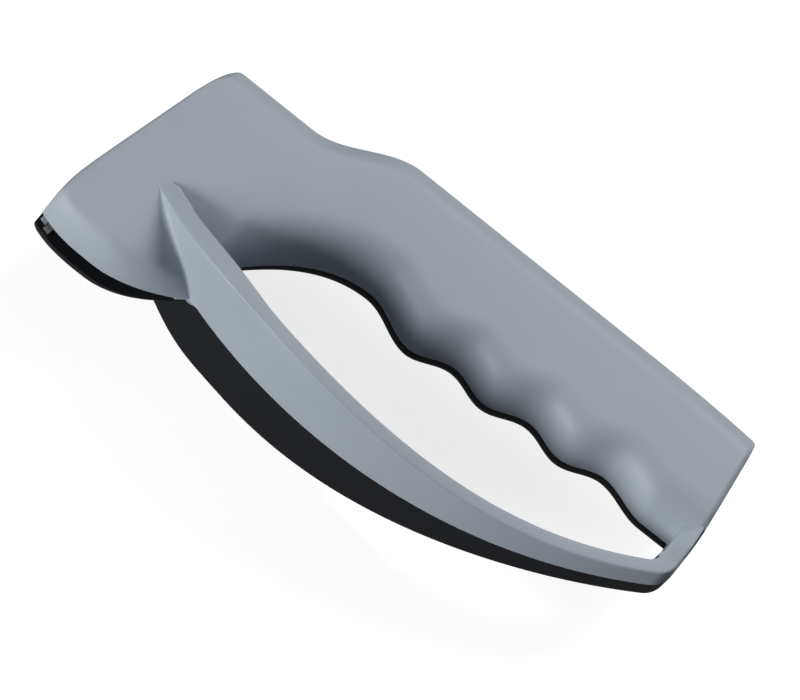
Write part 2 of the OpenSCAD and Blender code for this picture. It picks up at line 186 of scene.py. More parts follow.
def endDrop(x):
    # quarter circle at the front and tail ends
    near = np.clip(1 - np.minimum(x, plan["length"] - x) / skin["endRound"], 0, 1)
    return skin["endRound"] * (1 - np.sqrt(1 - near ** 2))


def footHeight(x, crown):
    # the skin's height under the ridge: a power of a quarter cosine from the crown to the edge's land
    turn = np.clip((x - skin["rollStart"]) / (plan["root"] - skin["rollStart"]), 0, 1)
    drop = np.clip(np.cos(np.pi / 2 * turn), 0, 1) ** skin["footBend"]
    return np.where(x < plan["root"], blend(skin["edgeLand"], crown, drop), skin["edgeLand"])


def innerRound(x):
    # width of the rounding along the inner edge, across the handle: it grows in a straight line
    # over the head and towards the tail, and with the slope of the web
    head = blend(skin["slopeFront"], skin["slopeRoot"],
                 np.clip((x - skin["rollStart"]) / (plan["root"] - skin["rollStart"]), 0, 1))
    tail = np.clip((x - lastGroove) / (plan["length"] - lastGroove), 0, 1)
    slope = np.clip((plan["indexPlace"] - x) / plan["webRadius"], 0, None)
    handle = blend(skin["rimRound"], skin["rimRoundTail"], tail) * np.sqrt(1 + slope ** 2)
    return np.where(x < plan["root"], head, handle)


def roundness(x):
    # 0 gives a sine, 1 a quarter of an ellipse, with half a cosine wave between
    return ease((x - skin["rollStart"]) / (plan["indexPlace"] - skin["rollStart"] - plan["pitch"]))


def mainPart(x, crown):
    # rows across the head and handle: inner rounding, gently arched top, outer rounding
    nIn, nFlat, nOut = skin["mainCols"]
    x = x[:, None]
    y0, y1 = innerEdge(x), backEdge(x)
    a, top = innerRound(x), crown - endDrop(x)
    f = np.linspace(0, np.pi / 2, nIn + 1)[None]
    t = np.linspace(0, 1, nIn + 1)[None]
    yIn = y0 + a * blend(t, 1 - np.cos(f), roundness(x))
    yFlat = blend(y0 + a, y1 - skin["backRound"], np.linspace(0, 1, nFlat + 1)[None, 1:])
    g = np.linspace(np.pi / 2, 0, nOut + 1)[None, 1:]
    yOut = y1 - skin["backRound"] * (1 - np.cos(g))
    y = np.concatenate([yIn, yFlat, yOut], 1)
    arch = skin["arch"] * np.clip((y - (y0 + y1) / 2) / ((y1 - y0) / 2), 0, None) ** 2
    low = np.minimum(np.maximum(skin["edgeLand"], footHeight(x, crown)), top)
    level = top - arch
    z = np.concatenate([blend(low, level[:, :nIn + 1], np.sin(f)), level[:, nIn + 1:nIn + 1 + nFlat],
                        blend(skin["edgeLand"], level[:, nIn + 1 + nFlat:], np.sin(g))], 1)
    return np.stack([placedX(x, y), y, z], -1)


def cheekPart(x, crown):
    # rows from the lip to the line under the ridge, without that line itself
    nLip, nCheek = skin["cheekCols"]
    x = x[:, None]
    y0, y1 = lip(x), innerEdge(x)
    top = np.minimum(footHeight(x, crown), crown - endDrop(x))
    f = np.linspace(0, np.pi / 2, nLip + 1)[None]
    yLip = y0 + skin["lipRound"] * (1 - np.cos(f))
    yCheek = blend(y0 + skin["lipRound"], y1, np.linspace(0, 1, nCheek + 1)[None, 1:-1])
    y = np.concatenate([yLip, yCheek], 1)
    z = np.concatenate([blend(skin["edgeLand"], top, np.sin(f)), top + 0 * yCheek], 1)
    return np.stack([placedX(x, y), y, z], -1)


def skinHeight(x, y, crown):
    # height of the skin over a place of the plan: its row is found by repeated correction,
    # then the curve across that row by halving
    row = x + 0 * y
    for _ in range(skin["rowSteps"]):
        row = row + x - placedX(row, y)
    row = np.clip(row, 0, plan["length"])
    y0, y1, front = innerEdge(row), backEdge(row), lip(row)
    top, foot = crown - endDrop(row), footHeight(row, crown)
    near = np.clip((y - front) / skin["lipRound"], 0, 1)
    cheek = blend(skin["edgeLand"], np.minimum(foot, top), np.sqrt(1 - (1 - near) ** 2))
    share = np.clip((y - y0) / innerRound(row), 0, 1)
    low, high = 0 * share, 0 * share + np.pi / 2
    for _ in range(skin["halvings"]):
        f = (low + high) / 2
        under = blend(f * 2 / np.pi, 1 - np.cos(f), roundness(row)) < share
        low, high = np.where(under, f, low), np.where(under, high, f)
    arch = skin["arch"] * np.clip((y - (y0 + y1) / 2) / ((y1 - y0) / 2), 0, None) ** 2
    base = np.minimum(np.maximum(skin["edgeLand"], foot), top)
    main = blend(base, top - arch, np.sin((low + high) / 2))
    onHead = np.where(y < front, 0, cheek)
    offHandle = np.where(row < plan["root"], onHead, 0)
    return np.where(y < y0, offHandle, main)


def quads(index):
    # the four-sided faces of a grid of vertex numbers
    return np.stack([index[:-1, :-1], index[:-1, 1:], index[1:, 1:], index[1:, :-1]], -1).reshape(-1, 4)


def makeMesh(name, verts, faceSets):
    # one mesh object from points in mm of the outline and sets of faces, put into the frame
    mesh = bpy.data.meshes.new(name)
    verts = np.asarray(verts, float)
    corners = [verts[np.asarray(faceSet)] for faceSet in faceSets]
    turns = [np.cross(c, np.roll(c, -1, 1)).sum(1) for c in corners]
    volume = sum((c.mean(1) * t).sum() for c, t in zip(corners, turns))
    step = 1 if volume > 0 else -1  # faces turned outwards where the volume comes out negative
    placed = (verts - np.array(plan["origin"])) * mm
    faces = [face for faceSet in faceSets for face in np.asarray(faceSet)[:, ::step].tolist()]
    mesh.from_pydata(placed.tolist(), [], faces)
    mesh.update()
    piece = bpy.data.objects.new(name, mesh)
    bpy.context.collection.objects.link(piece)
    return piece


def baseUnder(points, x, y0, y1):
    # the points dropped to the parting plane and drawn in near the edges, less and less inwards
    def drawn(gap):
        return skin["groove"] * np.clip(1 - gap / skin["grooveReach"], 0, 1)
    px, py = points[..., 0], points[..., 1]
    along = px + drawn(x) - drawn(plan["length"] - x)
    return np.stack([along, py + drawn(py - y0) - drawn(y1 - py), 0 * px], -1)


def skinPiece(name, crown, side):
    # closed solid between the skin and the parting plane: head and handle share one row of points,
    # and a ring of walls joins skin and base; side is 1 above the plane and -1 below
    ends = skin["endRound"] * (1 - np.cos(np.linspace(0, np.pi / 2, skin["endRows"])))
    headX = np.concatenate([ends, np.linspace(skin["endRound"], plan["root"], skin["headRows"])[1:]])
    straightX = np.linspace(plan["root"], plan["length"] - skin["endRound"], skin["handleRows"])
    handleX = np.concatenate([straightX, plan["length"] - ends[-2::-1]])
    head = np.concatenate([cheekPart(headX, crown), mainPart(headX, crown)], 1)
    handle = mainPart(handleX, crown)[1:]
    h, w = head.shape[:2]
    m = handle.shape[1]
    top = np.concatenate([head.reshape(-1, 3), handle.reshape(-1, 3)])
    hx, tx = headX[:, None], handleX[1:, None]
    base = np.concatenate([baseUnder(head, hx, lip(hx), backEdge(hx)).reshape(-1, 3),
                           baseUnder(handle, tx, innerEdge(tx), backEdge(tx)).reshape(-1, 3)])
    headIndex = np.arange(h * w).reshape(h, w)
    handleIndex = np.vstack([headIndex[-1, w - m:], h * w + np.arange(len(handle) * m).reshape(-1, m)])
    loop = np.concatenate([headIndex[:, 0], headIndex[-1, 1:w - m], handleIndex[:, 0], handleIndex[-1, 1:],
                           handleIndex[-2:0:-1, -1], headIndex[::-1, -1], headIndex[0, -2:0:-1]])
    ring = top[loop] * (1, 1, 0) + (0, 0, skin["groove"])
    verts = np.concatenate([top, base, ring])
    rings = np.vstack([loop, 2 * len(top) + np.arange(len(loop)), len(top) + loop])
    rings = np.hstack([rings, rings[:, :1]])
    skinFaces = np.concatenate([quads(headIndex), quads(handleIndex)])
    return makeMesh(name, verts * (1, 1, side),
                    [skinFaces[:, ::-side], quads(rings)[:, ::-side], skinFaces[:, ::side] + len(top)])


guard = {
    "crest": 18.4, "tailCrest": 5.7, "fallStart": 48.0,      # height of the crest, and where it falls
    "ridgeStart": 13.0, "ridgeFull": 42.0, "ridgeSink": 0.5,  # where it rises out of the head
    "tipStart": 11.2, "tipRise": 5.0, "tipSink": 0.5, "tipLand": 3.4, "tipLength": 16.0,
    "landRoot": 4.2, "land": 3.1, "landTail": 3.0,           # width of the crest's flat top
    "draftRoot": 1.0, "draft": 3.0, "bevel": 0.55,           # degrees of the walls, mm of the rounding
    "changeStart": 32.0, "changeLength": 18.0,               # where the root's crest and wall give way
    "drift": 1.3, "driftLength": 16.0,                       # the ridge's tip lies inside the bow
    "corner": 5.5, "stripEnd": 3.2, "stripFull": 0.5, "stripRise": 1.9, "stripTilt": 1.3,
    "stripWider": (0.9, -0.4),                               # above and below the parting plane
    "cornerFill": 0.45, "cornerReach": 0.6,                  # rounding of the loop's tail corner
    "filletTip": 1.6, "filletOut": 0.9, "filletLength": 16.0, "webFade": 2.0,
    "filletIn": 1.6, "gusset": 3.2, "gussetStart": 7.0, "gussetLength": 6.5,  # loop's front corner
    "middle": 2.5, "sink": 0.25, "softening": 2.2,           # the crest against the skin below it
    "footStep": 0.2, "overlap": 0.03,
    "bowRows": 230, "cornerRows": 18, "stripRows": 26,
    "filletCols": 8, "wallCols": 6, "bevelCols": 6, "landCols": 5,
}


def softMax(a, b, k):
    # the greater of two heights, with a parabola of width k where they meet
    return np.maximum(a, b) + k * np.clip(1 - np.abs(a - b) / k, 0, None) ** 2 / 4


def crestHeight(x, crown):
    # sine rising out of the head, level, then half a cosine wave down to the tail
    share = (x - guard["ridgeStart"]) / (guard["ridgeFull"] - guard["ridgeStart"])
    rise = np.sin(np.pi / 2 * np.clip(share, 0, 1))
    fall = ease((x - guard["fallStart"]) / (plan["length"] - guard["fallStart"]))
    return np.where(x < guard["ridgeFull"], blend(crown - guard["ridgeSink"], guard["crest"], rise),
                    blend(guard["crest"], guard["tailCrest"], fall))


def guardPath():
    # arc of the bow, arc of the tail's corner, then straight up the tail with its slant
    r, c = plan["bowRadius"], guard["corner"]
    cornerX = plan["length"] - c
    cornerY = bowCentre - math.sqrt((r - c) ** 2 - (cornerX - plan["bowMiddle"]) ** 2)
    start = math.asin((guard["tipStart"] - plan["bowMiddle"]) / r)
    end = math.asin((cornerX - plan["bowMiddle"]) / (r - c))
    a = np.linspace(start, end, guard["bowRows"])
    b = np.linspace(end, np.pi / 2, guard["cornerRows"])[1:]
    y = np.linspace(cornerY, guard["stripEnd"], guard["stripRows"])[1:]
    x = np.concatenate([plan["bowMiddle"] + r * np.sin(a), cornerX + c * np.sin(b),
                        plan["length"] - plan["tailLean"] * np.clip(y + plan["lastDrop"], 0, None)])
    y = np.concatenate([bowCentre - r * np.cos(a), cornerY - c * np.cos(b), y])
    turn = np.concatenate([a, b, 0 * x[len(a) + len(b):] + np.pi / 2])
    return x, y, turn


def bezier(p, q, r, steps):
    # quadratic curve from p towards q and on to r; p, q and r are (rows, 2)
    t = np.linspace(0, 1, steps + 1)[None, :, None]
    p, q, r = p[:, None], q[:, None], r[:, None]
    return (1 - t) ** 2 * p + 2 * t * (1 - t) * q + t ** 2 * r


def guardPiece(name, crown, side):
    # a section carried along the path: foot fillet, drafted wall, rounded crest, land, and back down
    x, y, turn = guardPath()
    inward = np.stack([-np.sin(turn), np.cos(turn)], -1)
    slant = math.tan(math.radians(guard["draft"]))
    middle = inward * guard["middle"]
    centreHeight = skinHeight(x + middle[:, 0], y + middle[:, 1], crown)
    height = softMax(crestHeight(x, crown), centreHeight - guard["sink"], guard["softening"])
    height = blend(centreHeight - guard["tipSink"], height, ease((x - guard["tipStart"]) / guard["tipRise"]))
    # 0 to 1 up the straight strip of the tail, and 0 to 1 round the corner before it
    bowEnd = guard["bowRows"] - 1
    straight = turn >= np.pi / 2
    stripStart = y[straight].min()
    up = ease(np.where(straight, (y - stripStart) / (guard["stripFull"] - stripStart), 0))
    bend = ease((turn - turn[bowEnd]) / (np.pi / 2 - turn[bowEnd]))
    height = np.where(straight, crestHeight(x, crown) + guard["stripRise"] * up, height)
    # the crest's land from the tip over the root and the bow to the tail, and the walls beside it
    share = np.clip((x - guard["ridgeFull"]) / (plan["length"] - guard["ridgeFull"]), 0, 1)
    change = ease((x - guard["changeStart"]) / guard["changeLength"])
    land = blend(guard["landRoot"], blend(guard["land"], guard["landTail"], share), change)
    land = blend(guard["tipLand"], land, ease((x - guard["tipStart"]) / guard["tipLength"]))
    drift = guard["drift"] * (1 - ease((x - guard["tipStart"]) / guard["driftLength"]))
    bevel = guard["bevel"]
    rise = height - bevel
    lean = blend(math.tan(math.radians(guard["draftRoot"])), slant, change)
    wallOut, wallIn = rise * lean, rise * slant
    # the strip is wider above than below, and a bell curve rounds the loop's corner
    along = np.concatenate([[0], np.cumsum(np.hypot(np.diff(x), np.diff(y)))])
    first, last = along[bowEnd], along[straight][0]
    away = np.maximum(np.maximum(first - along, along - last), 0)
    rounding = guard["cornerFill"] * np.exp(-(away / guard["cornerReach"]) ** 2)
    width = wallOut + wallIn + land + guard["stripWider"][0 if side > 0 else 1] * bend + rounding

    def onSkin(n):
        # the skin's height n mm inside the guard's outer line, a little sunk in
        z = skinHeight(x + inward[:, 0] * n, y + inward[:, 1] * n, crown)
        return np.where(z > skin["groove"], z - guard["overlap"], skin["groove"])

    def foot(edge, away, radius, fade):
        # where the fillet leaves the wall, its corner, and where it reaches the skin
        ground = onSkin(edge + away * guard["footStep"])
        shown = np.clip((height - ground) / (2 * radius), 0, 1)
        r = radius * shown * fade
        far = edge + away * r
        return (np.stack([edge, np.minimum(ground + r, rise)], -1), np.stack([edge, ground], -1),
                np.stack([far, onSkin(far)], -1))

    # the fillets: smaller outside after the tip, and inside grown into the rounded corner of the loop
    past = np.clip(x - plan["root"], 0, None)
    outRadius = blend(guard["filletTip"], guard["filletOut"],
                      ease((x - guard["ridgeStart"]) / guard["filletLength"]))
    outWall, outCorner, outSkin = foot(0 * x, -1, outRadius, 1 - ease(past / guard["webFade"]))
    inRadius = blend(guard["filletIn"], guard["gusset"], ease((x - plan["root"]) / guard["gussetStart"] + 1))
    inFade = np.clip(1 - past / guard["gussetLength"], 0, 1) ** 2
    inWall, inCorner, inSkin = foot(width, 1, inRadius, inFade)
    outWall[:, 0] += outWall[:, 1] * lean
    inWall[:, 0] -= inWall[:, 1] * slant
    f = np.linspace(0, np.pi / 2, guard["bevelCols"])[None]
    arcZ = rise[:, None] + bevel * np.sin(f)
    arcOut = np.stack([wallOut[:, None] + bevel * (1 - np.cos(f)), arcZ], -1)
    arcIn = np.stack([(width - wallIn)[:, None] - bevel * (1 - np.cos(f)), arcZ], -1)
    wallT = np.linspace(0, 1, guard["wallCols"])[None, 1:-1, None]
    landT = np.linspace(0, 1, guard["landCols"])[None, 1:-1, None]
    section = np.concatenate([
        np.stack([0 * x + skin["groove"], 0 * x], -1)[:, None],
        bezier(outSkin, outCorner, outWall, guard["filletCols"]),
        blend(outWall[:, None], arcOut[:, :1], wallT),
        arcOut,
        blend(arcOut[:, -1:], arcIn[:, -1:], landT),
        arcIn[:, ::-1],
        blend(arcIn[:, :1], inWall[:, None], wallT),
        bezier(inWall, inCorner, inSkin, guard["filletCols"]),
        np.stack([width - skin["groove"], 0 * x], -1)[:, None]], 1)
    n = section[..., 0] + drift[:, None]
    tilt = guard["stripTilt"] * up[:, None] * (1 - 2 * section[..., 0] / width[:, None])  # outer side higher
    z = section[..., 1] + tilt * section[..., 1] / height[:, None]
    verts = np.stack([x[:, None] + inward[:, :1] * n, y[:, None] + inward[:, 1:] * n, z], -1)
    rows, cols = n.shape
    index = np.arange(rows * cols).reshape(rows, cols)
    faces = quads(np.hstack([index, index[:, :1]]))[:, ::-1]
    caps = [index[0], index[-1, ::-1]]
    verts = verts.reshape(-1, 3)
    if side < 0:
        verts = verts * (1, 1, -1)
        faces, caps = faces[:, ::-1], [cap[::-1] for cap in caps]
    return makeMesh(name, verts, [faces, caps])


# Spaces inside the shells, in the same outline millimetres

inside = {
    "fit": 0.1, "overrun": 1.0,    # play of the pockets, and how far a cutter runs past the skin
    "mouthGap": 2.6, "mouthFloor": 27.0, "mouthParallel": 18.0, "mouthCols": 33,
    "plateTurn": 13.0, "halfAngle": 20.0, "frontWall": 0.7, "nose": 2.3, "crotch": 30.0,
    "plate": (1.5, 18.0, 4.0),     # thickness, length and width
    "holder": (5.7, 16.5, 15.0),   # depth with the clamp, length and height
    "setback": 4.6,                # from the crossing of the plates to the holder
    "clampReach": 4.5, "clampRow": 9.0, "clampHigh": 5.5,  # places of the clamp's screws
    "screwSeat": 3.0, "screwLength": 9.0, "screwDiameter": 2.9, "shankPlay": 0.05, "headDiameter": 5.4,
    "screwPlaces": ((22, 9), (53, 12.5), (92.52, 12.5), (129, 12.5)),
    "pegPlaces": ((35.95, 4), (72, 18), (110.76, 18)), "pegDiameter": 4.0, "pegHeight": 3.0, "pegRoot": 1.0,
    "holeSteps": 48,
}


def turned(points, axis, degrees):
    # right-handed turn about one axis
    c, s = math.cos(math.radians(degrees)), math.sin(math.radians(degrees))
    i, j = [(1, 2), (2, 0), (0, 1)]["xyz".index(axis)]
    out = np.array(points, float)
    out[..., i] = c * points[..., i] - s * points[..., j]
    out[..., j] = s * points[..., i] + c * points[..., j]
    return out


def atPlates(points):
    # from the plates' own frame into the outline: turned with the slanted front, then moved behind it
    turn = inside["plateTurn"]
    start = (inside["frontWall"] + inside["nose"] * math.sin(math.radians(turn)), -inside["crotch"], 0)
    return turned(points, "z", -turn) + start


def sweptSides(name, rings):
    # closed solid through two or more equal rings of points, with flat ends
    rings = np.asarray(rings, float)
    rows, cols = rings.shape[:2]
    index = np.arange(rows * cols).reshape(rows, cols)
    return makeMesh(name, rings.reshape(-1, 3),
                    [quads(np.hstack([index, index[:, :1]])), [index[0, ::-1]], [index[-1]]])


def boxRings(low, high):
    # rectangle between two corners, at their two heights
    (a, b, c), (d, e, f) = low, high
    ring = np.array([(a, b), (a, e), (d, e), (d, b)], float)
    return np.stack([np.column_stack([ring, np.full(4, z)]) for z in (c, f)])


def cylinderRings(radius, low, high):
    # circle of points at two heights
    steps = inside["holeSteps"]
    t = -np.linspace(0, 2 * np.pi, steps, endpoint=False)
    ring = np.stack([radius * np.cos(t), radius * np.sin(t)], -1)
    return np.stack([np.column_stack([ring, np.full(steps, z)]) for z in (low, high)])


def mouthCutter():
    # the gap stays parallel, then closes in a parabola towards the root, straight across the lips
    t = np.linspace(0, 1, inside["mouthCols"])
    x = np.concatenate([[-inside["overrun"]], blend(inside["mouthParallel"], plan["root"], t)])
    z = inside["mouthGap"] * np.concatenate([[1], 1 - t ** 2])
    outline = np.concatenate([np.stack([x, z], -1), np.stack([x, -z], -1)[-2::-1]])
    ends = (-inside["mouthFloor"], -plan["lipReach"] - inside["overrun"])
    rings = [np.column_stack([outline[:, 0], np.full(len(outline), y), outline[:, 1]]) for y in ends]
    return sweptSides("mouthCutter", rings)


def plateCutters():
    # pockets of the two crossed plates and of the holder with its clamp
    fit, (thick, length, width) = inside["fit"], inside["plate"]
    blank = boxRings((-fit, -inside["nose"] - fit, -fit),
                     (thick + fit, length - inside["nose"] + fit, width + fit))
    upper = turned(blank, "x", -inside["halfAngle"])
    lower = (upper + (thick, 0, 0)) * (1, 1, -1)
    (deep, long, high), back = inside["holder"], inside["setback"]
    block = boxRings((-fit, back - fit, -high / 2 - fit), (deep + fit, back + long + fit, high / 2 + fit))
    return [sweptSides("plateCutter", atPlates(rings)) for rings in (upper, lower[:, ::-1], block)]


def screwCutters():
    # shank holes through both shells and seats for the heads from below
    made = []
    for x, y in inside["screwPlaces"]:
        shank = cylinderRings(inside["screwDiameter"] / 2 + inside["shankPlay"],
                              -inside["screwSeat"] - inside["overrun"],
                              inside["screwLength"] - inside["screwSeat"] + inside["fit"])
        seat = cylinderRings(inside["headDiameter"] / 2 + inside["fit"],
                             -skin["bottomCrown"] - inside["overrun"], -inside["screwSeat"])
        made += [sweptSides("screwCutter", rings + (x, y, 0)) for rings in (shank, seat)]
    return made


def cut(piece, cutters):
    # the cutters' spaces are taken out of the piece for good
    for cutter in cutters:
        step = piece.modifiers.new("cut", "BOOLEAN")
        step.operation, step.solver, step.object = "DIFFERENCE", "MANIFOLD", cutter
    result = bpy.data.meshes.new_from_object(piece.evaluated_get(bpy.context.evaluated_depsgraph_get()))
    piece.modifiers.clear()
    piece.data = result
    for cutter in cutters:
        bpy.data.objects.remove(cutter)
    return piece


def joined(pieces, name, sharp):
    # one object from several, its edges kept sharp above an angle
    with bpy.context.temp_override(active_object=pieces[0], selected_editable_objects=pieces,
                                   selected_objects=pieces, object=pieces[0]):
        bpy.ops.object.join()
    piece = pieces[0]
    piece.name = piece.data.name = name
    piece.data.polygons.foreach_set("use_smooth", np.ones(len(piece.data.polygons), bool))
    piece.data.set_sharp_from_angle(angle=math.radians(sharp))
    return piece


def pegPieces(grow, name):
    # cylinders from inside the top shell down past the parting plane
    high, radius = inside["pegHeight"] + grow, inside["pegDiameter"] / 2 + grow
    rings = cylinderRings(radius, -high, inside["pegRoot"])
    return [sweptSides(name, rings + (x, y, 0)) for x, y in inside["pegPlaces"]]


topSkin = cut(skinPiece("topSkin", skin["topCrown"], 1), [mouthCutter()] + plateCutters() + screwCutters())
topShell = joined([topSkin, guardPiece("topGuard", skin["topCrown"], 1)] + pegPieces(0, "peg"),
                  "topShell", skin["sharp"])
print("stage: top shell", len(topShell.data.polygons), "faces")

bottomSkin = cut(skinPiece("bottomSkin", skin["bottomCrown"], -1),
                 [mouthCutter()] + plateCutters() + screwCutters() + pegPieces(inside["fit"], "pegCutter"))
bottomShell = joined([bottomSkin, guardPiece("bottomGuard", skin["bottomCrown"], -1)],
                     "bottomShell", skin["sharp"])
print("stage: bottom shell", len(bottomShell.data.polygons), "faces")

for shell, node, slotName in ((topShell, "top_shell", "grey_plastic"),
                              (bottomShell, "bottom_shell", "black_plastic")):
    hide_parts(node)
    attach(shell, "root")


# Screws: a pan head with a cross recess over a threaded shank

screws = {
    "housing": {"shank": inside["screwDiameter"], "length": inside["screwLength"],
                "head": inside["headDiameter"], "headHigh": 2.0, "pitch": 1.1, "thread": 0.32,
                "cross": 3.0, "crossWide": 0.85, "crossDeep": 1.15},
    "clamp": {"shank": 2.0, "length": 4.4, "head": 3.6, "headHigh": 1.2, "pitch": 0.4, "thread": 0.16,
              "cross": 2.1, "crossWide": 0.6, "crossDeep": 0.7},
    "dome": 0.45,                     # share of the head's height that its face is domed
    "crossTaper": (1.25, 0.5), "crossWall": 0.12, "crossEnd": 0.5,
    "ridge": 0.3,                     # half the width of the thread's ridge, in pitches
    "runIn": 0.8, "runOut": 1.2, "pointLength": 1.5, "pointSmall": 0.25, "endGap": 0.1,
    "rows": 60, "headRows": 26, "rimRows": 5, "steps": 64,
    "centre": 0.02,                   # the head's smallest ring, as a share of its radius
    "sharp": 40,
}


def screwSurface(look):
    # one surface of revolution, head down: a face domed by a fourth power and sunk inside a cross,
    # the head's rim, and a shank whose radius carries a triangular helical ridge and ends in a point
    t = np.linspace(0, 2 * np.pi, screws["steps"], endpoint=False)[None]
    share = np.linspace(screws["centre"], 1, screws["headRows"])[:, None]
    r = look["head"] / 2 * share
    reach = np.maximum(np.abs(r * np.cos(t)), np.abs(r * np.sin(t)))
    off = np.minimum(np.abs(r * np.cos(t)), np.abs(r * np.sin(t)))
    wide, taper = screws["crossTaper"]
    arm = look["crossWide"] / 2 * (wide - taper * reach / look["cross"])
    narrow = np.clip((arm - off) / screws["crossWall"], 0, 1)
    short = np.clip((look["cross"] / 2 - reach) / screws["crossEnd"], 0, 1)
    headZ = -look["headHigh"] * (1 - screws["dome"] * share ** 4) + look["crossDeep"] * narrow * short
    edge = np.linspace(0, 1, screws["rimRows"])[1:, None]
    edgeR = look["head"] / 2 + 0 * edge + 0 * t
    edgeZ = blend(-look["headHigh"] * (1 - screws["dome"]), 0, edge) + 0 * t
    end = look["length"] - screws["endGap"]
    z = np.linspace(0, end, screws["rows"])[:, None]
    turn = np.mod(z / look["pitch"] - t / (2 * np.pi), 1)
    ridge = np.clip(1 - np.abs(turn - 0.5) / screws["ridge"], 0, 1)
    fade = np.clip(z / screws["runIn"], 0, 1) * np.clip((end - z) / screws["runOut"], 0, 1)
    point = np.sqrt(np.clip((look["length"] - z) / screws["pointLength"], screws["pointSmall"], 1))
    shankR = (look["shank"] / 2 - look["thread"] * (1 - ridge * fade)) * point
    radius = np.concatenate([r + 0 * t, edgeR, shankR])
    height = np.concatenate([headZ, edgeZ, z + 0 * t])
    return np.stack([radius * np.cos(t), radius * np.sin(t), height], -1)


def screwPiece(name, look, placings):
    # copies of the surface, each closed at both ends
    surface = screwSurface(look)
    made = []
    for place in placings:
        points = place(surface)
        rows, cols = points.shape[:2]
        index = np.arange(rows * cols).reshape(rows, cols)
        faces = quads(np.hstack([index, index[:, :1]]))[:, ::-1]
        made.append(makeMesh(name, points.reshape(-1, 3), [faces, [index[0]], [index[-1, ::-1]]]))
    return joined(made, name, screws["sharp"])


def housingPlace(x, y):
    # upright, the underside of the head on its seat
    return lambda points: points + (x, y, -inside["screwSeat"])


def clampPlace(high):
    # the clamp screws lie along the head's length and enter from behind the clamp
    def place(points):
        lying = np.stack([inside["clampReach"] - points[..., 2],
                          points[..., 0] + inside["setback"] + inside["clampRow"],
                          points[..., 1] + high], -1)
        return atPlates(lying[:, ::-1])
    return place


housingScrews = screwPiece("housingScrews", screws["housing"],
                           [housingPlace(x, y) for x, y in inside["screwPlaces"]])
clampScrews = screwPiece("clampScrews", screws["clamp"],
                         [clampPlace(side * inside["clampHigh"]) for side in (-1, 1)])
for piece, node in ((housingScrews, "housing_screws"), (clampScrews, "plate_clamp_screws")):
    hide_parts(node)
    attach(piece, "root")
print("stage: screws")


# Materials

def linear(text):
    # sRGB hex to the linear values that Blender's colour sockets take
    parts = [int(text[i:i + 2], 16) / 255 for i in (1, 3, 5)]
    return tuple(c / 12.92 if c <= 0.04045 else ((c + 0.055) / 1.055) ** 2.4 for c in parts) + (1,)


def addNode(tree, kind, values=None, links=None, **settings):
    # one node with its settings, socket values and incoming links
    node = tree.nodes.new(kind)
    for key, value in settings.items():
        setattr(node, key, value)
    for key, value in (values or {}).items():
        node.inputs[key].default_value = value
    for key, source in (links or {}).items():
        tree.links.new(source, node.inputs[key])
    return node


def startMaterial(name):
    # an empty node tree, and the place on the object in metres
    material = bpy.data.materials.new(name)
    material.use_nodes = True
    tree = material.node_tree
    tree.nodes.clear()
    where = addNode(tree, "ShaderNodeTexCoord").outputs["Object"]
    return material, tree, where


def perMetre(millimetres):
    # a pattern's scale from the size of its grain
    return 1000 / millimetres


def mouldedAbs(name, look):
    # plastic from a spark-eroded mould: noise and cells give the pebble of the skin, and wide soft
    # clouds shift its colour and roughness a little, as the flow of the melt does
    material, tree, where = startMaterial(name)
    cloud = addNode(tree, "ShaderNodeTexNoise", {"Scale": perMetre(look["cloud"]), "Detail": 3.0,
                                                 "Roughness": 0.55}, {"Vector": where})
    pebble = addNode(tree, "ShaderNodeTexNoise", {"Scale": perMetre(look["pebble"]), "Detail": 2.0,
                                                  "Roughness": 0.6}, {"Vector": where})
    specks = addNode(tree, "ShaderNodeTexVoronoi", {"Scale": perMetre(look["cells"])},
                     {"Vector": where}, feature="SMOOTH_F1")
    tint = addNode(tree, "ShaderNodeMix", {"A": linear(look["dark"]), "B": linear(look["light"])},
                   {"Factor": cloud.outputs["Fac"]}, data_type="RGBA")
    fine = addNode(tree, "ShaderNodeMath", {1: look["speck"]}, {0: pebble.outputs["Fac"]},
                   operation="MULTIPLY")
    lift = addNode(tree, "ShaderNodeMath", {1: 1 - look["speck"] / 2}, {0: fine.outputs[0]}, operation="ADD")
    colour = addNode(tree, "ShaderNodeVectorMath", None, {0: tint.outputs["Result"], 1: lift.outputs[0]},
                     operation="MULTIPLY")
    smooth, coarse = look["rough"]
    rough = addNode(tree, "ShaderNodeMapRange",
                    {"From Min": 0.3, "From Max": 0.7, "To Min": smooth, "To Max": coarse},
                    {"Value": cloud.outputs["Fac"]})
    relief = addNode(tree, "ShaderNodeMath", None, {0: pebble.outputs["Fac"], 1: specks.outputs["Distance"]},
                     operation="ADD")
    bump = addNode(tree, "ShaderNodeBump", {"Strength": look["relief"], "Distance": look["depth"] * mm},
                   {"Height": relief.outputs[0]})
    shader = addNode(tree, "ShaderNodeBsdfPrincipled", {"IOR": 1.54, "Specular IOR Level": look["gloss"]},
                     {"Base Color": colour.outputs[0], "Roughness": rough.outputs[0],
                      "Normal": bump.outputs[0]})
    addNode(tree, "ShaderNodeOutputMaterial", None, {"Surface": shader.outputs[0]})
    return material


